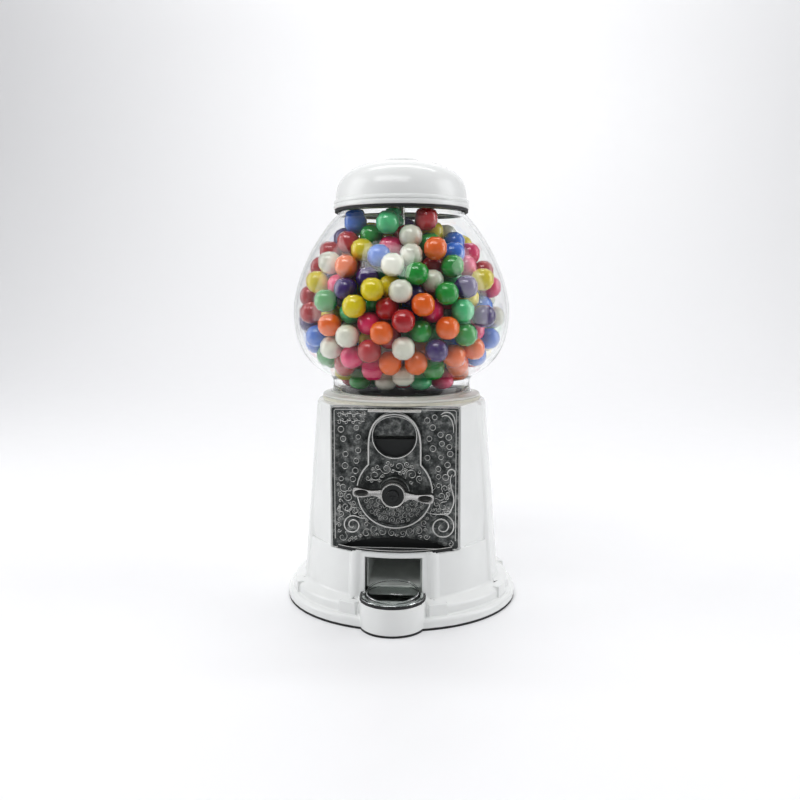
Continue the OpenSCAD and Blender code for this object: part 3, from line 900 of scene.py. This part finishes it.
def tray():
    """Shelf with a raised lip at the foot of the plate, under the handle."""
    reach = math.degrees(math.asin(38 / 66))
    front = [(x, y) for x, y in arc(0, 0, 66, -90 - reach, -90 + reach, 36)]
    shelf = pressed("tray", front + [(38, -50.8), (-38, -50.8)], 44.6, 47.9, 0, flat=True)
    inner = math.degrees(math.asin(35 / 63.8))
    scoop = pressed("scoop", [(x, y) for x, y in arc(0, 0, 63.8, -90 - inner, -90 + inner, 30)]
                    + [(35, -52.4), (-35, -52.4)], 46.3, 52, 0, flat=True)
    cut(shelf, scoop)
    soften(shelf, 0.4)
    lip = wire("lip", [[(x, y, 47.7) for x, y in arc(0, 0, 65.2, -90 - reach, -90 + reach, 36)],
                       [(x, y, 45.4) for x, y in arc(0, 0, 65.5, -90 - reach, -90 + reach, 36)]], 0.5)
    # The lip beads are painted pale grey as painted highlight along the front of the tray.
    dress(lip, highlight_zinc)
    dress(shelf, black_zinc_and_shade)
    return joined("tray_shelf", [smooth(shelf), lip])


def faceplate():
    """The embossed plate and its tray."""
    flats = plate_and_boss()
    lines = rims() + bubbles() + scrollwork() + name_band()
    for shape in lines:
        dress(shape, relief_zinc)
    plate = joined("embossed_plate", flats + lines)
    shelf = tray()
    for piece in (plate, shelf):
        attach(piece, "housing_body")
        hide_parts("faceplate")


# ---- handle ----

def half_handle():
    """Outline of the right half of the handle about its shaft, seen from the front."""
    over = (bend((0, 3.4), (6, 3.4), (8.5, 2.3), (12.5, 1.7), 8)
            + bend((12.5, 1.7), (17, 1.2), (21, 2.6), (24.4, 2.7), 8)[1:]
            + bend((24.4, 2.7), (26, 2.6), (26.3, 1.4), (26.2, 0), 5)[1:])
    under = (bend((26.2, 0), (26.2, -2.2), (25.4, -3.3), (23.6, -3.4), 5)[1:]
             + bend((23.6, -3.4), (18.5, -3.6), (15, -1.6), (12.2, -1.5), 8)[1:]
             + bend((12.2, -1.5), (9.5, -1.6), (8, -3.8), (6, -4.4), 6)[1:])
    return over + under


def wing_outline():
    """Outline of both halves of the handle."""
    right = half_handle()
    left = [(-x, z) for x, z in half_handle()[::-1]]
    left = [(x, z) for x, z in left if x < -0.5]
    return right + left


def grip():
    """Handle with two scooped wings and a hub with a black face."""
    tilt = math.radians(4.5)
    outline = [(x * math.cos(tilt) + z * math.sin(tilt), z * math.cos(tilt) - x * math.sin(tilt) + SHAFT)
               for x, z in wing_outline()]
    wings = pressed("wings", outline, -61.2, -67.2, 0)
    for side in (-1, 1):
        put_down()
        bpy.ops.mesh.primitive_uv_sphere_add(segments=32, ring_count=16, radius=1)
        scoop = bpy.context.object
        bpy.ops.transform.resize(value=(4.7 * MM, 2.4 * MM, 2.15 * MM))
        bpy.ops.transform.translate(value=(side * 20.6 * math.cos(tilt) * MM, -67.6 * MM,
                                           (SHAFT - 0.35 - side * 20.6 * math.sin(tilt)) * MM))
        cut(wings, scoop)
    soften(wings, 0.45, 3, 50)
    hub = turned("hub", [(3.0, -59.5), (8.7, -59.5), (9, -59.8), (9, -63.4), (8.7, -63.7), (8, -63.9),
                         (7.9, -65.2), (8.1, -65.5), (8.1, -68.6), (7.8, -69.2), (7.2, -69.2),
                         (6.9, -68.9), (6.9, -67.2), (3.0, -67.2), (3.0, -59.5)],
                 64, (0, SHAFT), upright=False)
    face = turned("hub face", [(3.9, -67.1), (6.95, -67.1), (6.95, -68.7), (3.9, -68.7), (3.9, -67.1)],
                  64, (0, SHAFT), upright=False)
    dress(wings, handle_zinc)
    dress(hub, handle_zinc)
    dress(face, black_zinc_and_shade)
    handle = joined("butterfly_handle", [smooth(wings, 50), hub, face])
    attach(handle, "handle_body")
    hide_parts("coin_handle")


# ---- pieces kept from the design ----

def finish_the_rest():
    """Finishes for the pieces that stay as designed."""
    steel = metal("drawn steel", (0.62, 0.62, 0.6), 0.25)
    black_rubber = moulded("black rubber", (0.028, 0.028, 0.03), 0.55)
    pale_rubber = moulded("pale rubber", (0.74, 0.72, 0.62), 0.4)
    black_plastic = moulded("black plastic", (0.03, 0.03, 0.032), 0.35)
    grey_plastic = moulded("grey plastic", (0.66, 0.68, 0.66), 0.36)
    white_plastic = moulded("white plastic", (0.75, 0.74, 0.7), 0.35)
    wear = {
        "steel": (steel, ["bottom_plate", "bottom_screws", "ball_guard", "chute_screws", "tie_rod",
                          "rod_bracket", "bracket_screws", "rod_nut", "rod_washers", "faceplate_screws",
                          "handle_shaft", "ratchet_wheel", "shaft_clip", "pawl", "pawl_pin",
                          "pawl_spring", "mechanism_plate", "mechanism_posts", "mechanism_screws"]),
        "antique_metal": (black_zinc_and_shade, ["handle_screw"]),
        "dark_rubber": (black_rubber, ["base_pad", "coin_plug", "lid_gasket", "dish_gasket"]),
        "pale_rubber": (pale_rubber, ["globe_gasket"]),
        "dark_plastic": (black_plastic, ["dispensing_wheel"]),
        "grey_plastic": (grey_plastic, ["chute", "coin_guide"]),
        "white_plastic": (white_plastic, ["wheel_tray", "wheel_gear", "coin_carrier", "drive_pinion"]),
    }
    for place, (stuff, names) in wear.items():
        for name in names:
            dress(frame["nodes"][name], stuff)


# ---- studio ----

def sweep():
    """Pale floor that turns up into the background, painted darker grey towards the front as painted
    shade.
    """
    put_down()
    bpy.ops.mesh.primitive_plane_add(size=1)
    floor = bpy.context.object
    bpy.ops.transform.resize(value=(9, 5, 1))
    bpy.ops.object.mode_set(mode="EDIT")
    bpy.ops.mesh.select_all(action="DESELECT")
    bpy.ops.object.mode_set(mode="OBJECT")
    for edge in floor.data.edges:
        edge.select = all(floor.data.vertices[v].co.y > 0.4 for v in edge.vertices)
    bpy.ops.object.mode_set(mode="EDIT")
    bpy.ops.mesh.select_mode(type="EDGE")
    bpy.ops.mesh.extrude_region_move(TRANSFORM_OT_translate={"value": (0, 0, 4)})
    bpy.ops.object.mode_set(mode="OBJECT")
    settle(floor, "sweep")
    for edge in floor.data.edges:
        ends = [floor.data.vertices[v].co for v in edge.vertices]
        edge.select = all(end.y > 2.4 and end.z < 0.01 for end in ends)
    bpy.ops.object.mode_set(mode="EDIT")
    bpy.ops.mesh.bevel(offset=1.2, segments=16)
    bpy.ops.object.mode_set(mode="OBJECT")
    smooth(right_way_out(floor), 60)
    paper, nodes, links, shader, place = finish_called("white paper with painted shade in front")
    apart = nodes.new("ShaderNodeSeparateXYZ")
    links.new(place, apart.inputs["Vector"])
    # The paper runs from grey in front of the machine to pale under and behind it: painted shade on the
    # floor in front, which the glass and the metal reflect.
    depth = spread(nodes, links, apart.outputs["Y"], 0.0, 1.0, -0.5, -0.3)
    links.new(tints(nodes, links, depth, [(0.0, (0.5, 0.5, 0.51)), (1.0, (0.87, 0.87, 0.88))]),
              shader.inputs["Base Color"])
    links.new(spread(nodes, links, grain(nodes, links, place, 30), 0.45, 0.6), shader.inputs["Roughness"])
    dress(floor, paper)


def soft_light(name, size, power, place, aim, tall):
    """A softbox that is turned towards its aim."""
    put_down()
    bpy.ops.object.light_add(type="AREA", location=place)
    lamp = bpy.context.object
    lamp.name = name
    lamp.data.shape = "RECTANGLE"
    lamp.data.size = size
    lamp.data.size_y = tall
    lamp.data.energy = power
    lamp.rotation_euler = (Vector(aim) - Vector(place)).to_track_quat("-Z", "Y").to_euler()


def lights():
    """Pale air, three softboxes round the machine and one on the background."""
    world = bpy.data.worlds.new("studio air")
    world.use_nodes = True
    nodes = world.node_tree.nodes
    links = world.node_tree.links
    apart = nodes.new("ShaderNodeSeparateXYZ")
    links.new(nodes.new("ShaderNodeTexCoord").outputs["Generated"], apart.inputs["Vector"])
    links.new(spread(nodes, links, apart.outputs["Y"], 0.18, 0.5, -0.75, 0.1),
              nodes["Background"].inputs["Strength"])
    nodes["Background"].inputs["Color"].default_value = (0.97, 0.98, 1, 1)
    bpy.context.scene.world = world
    soft_light("left softbox", 0.6, 3.0, (-1.0, -0.1, 0.55), (0, 0, 0.15), tall=1.0)
    soft_light("right softbox", 0.6, 3.7, (1.05, 0.0, 0.5), (0, 0, 0.15), tall=1.0)
    soft_light("front softbox", 1.2, 7.0, (-0.25, -0.8, 1.25), (0, 0, 0.1), tall=0.5)
    soft_light("background light", 2.4, 40, (0, 0.9, 2.6), (0, 3.0, 0.9), tall=0.6)


def camera():
    """Eye a little above the middle of the globe, turned slightly down."""
    bpy.ops.object.camera_add(location=(0.0480, -0.5967, 0.2119),
                              rotation=(math.radians(90 - 6.99), 0, math.radians(4.6985)))
    eye = bpy.context.object
    eye.data.sensor_width = 36
    eye.data.lens = 38.2
    eye.data.clip_start = 0.02
    bpy.context.scene.camera = eye


enamel = coated_white()
glass = ground_foot(clear("blown glass", (0.985, 0.995, 0.99), (0.0, 0.02), 18, 0.02))
acrylic = clear("clear acrylic", (0.97, 0.98, 0.98), (0.02, 0.08), 90, 0.03)
ground_zinc = blackened_ground()
relief_zinc = polished_relief()
# Pale grey used as painted highlight on the ledge over the boss and on the lip beads of the tray.
highlight_zinc = moulded("zinc with painted highlight", (0.62, 0.62, 0.6), 0.22)
handle_zinc = rubbed("polished zinc of the handle", -65.9, -67.15, 0.05, 0.62)
# Black of the tray, the hub face and the handle screw; on the lower half of the coin recess it is painted
# shade.
black_zinc_and_shade = moulded("black of the tray and the hub", (0.02, 0.022, 0.022), 0.38, 300, 0.06)

cast_housing()
blown_globe()
domed_lid()
lid_button()
clear_dish()
gumballs_in_globe()
faceplate()
grip()
finish_the_rest()
sweep()
lights()
camera()
bpy.context.scene.view_settings.view_transform = "Standard"
bpy.context.scene.view_settings.look = "Medium High Contrast"
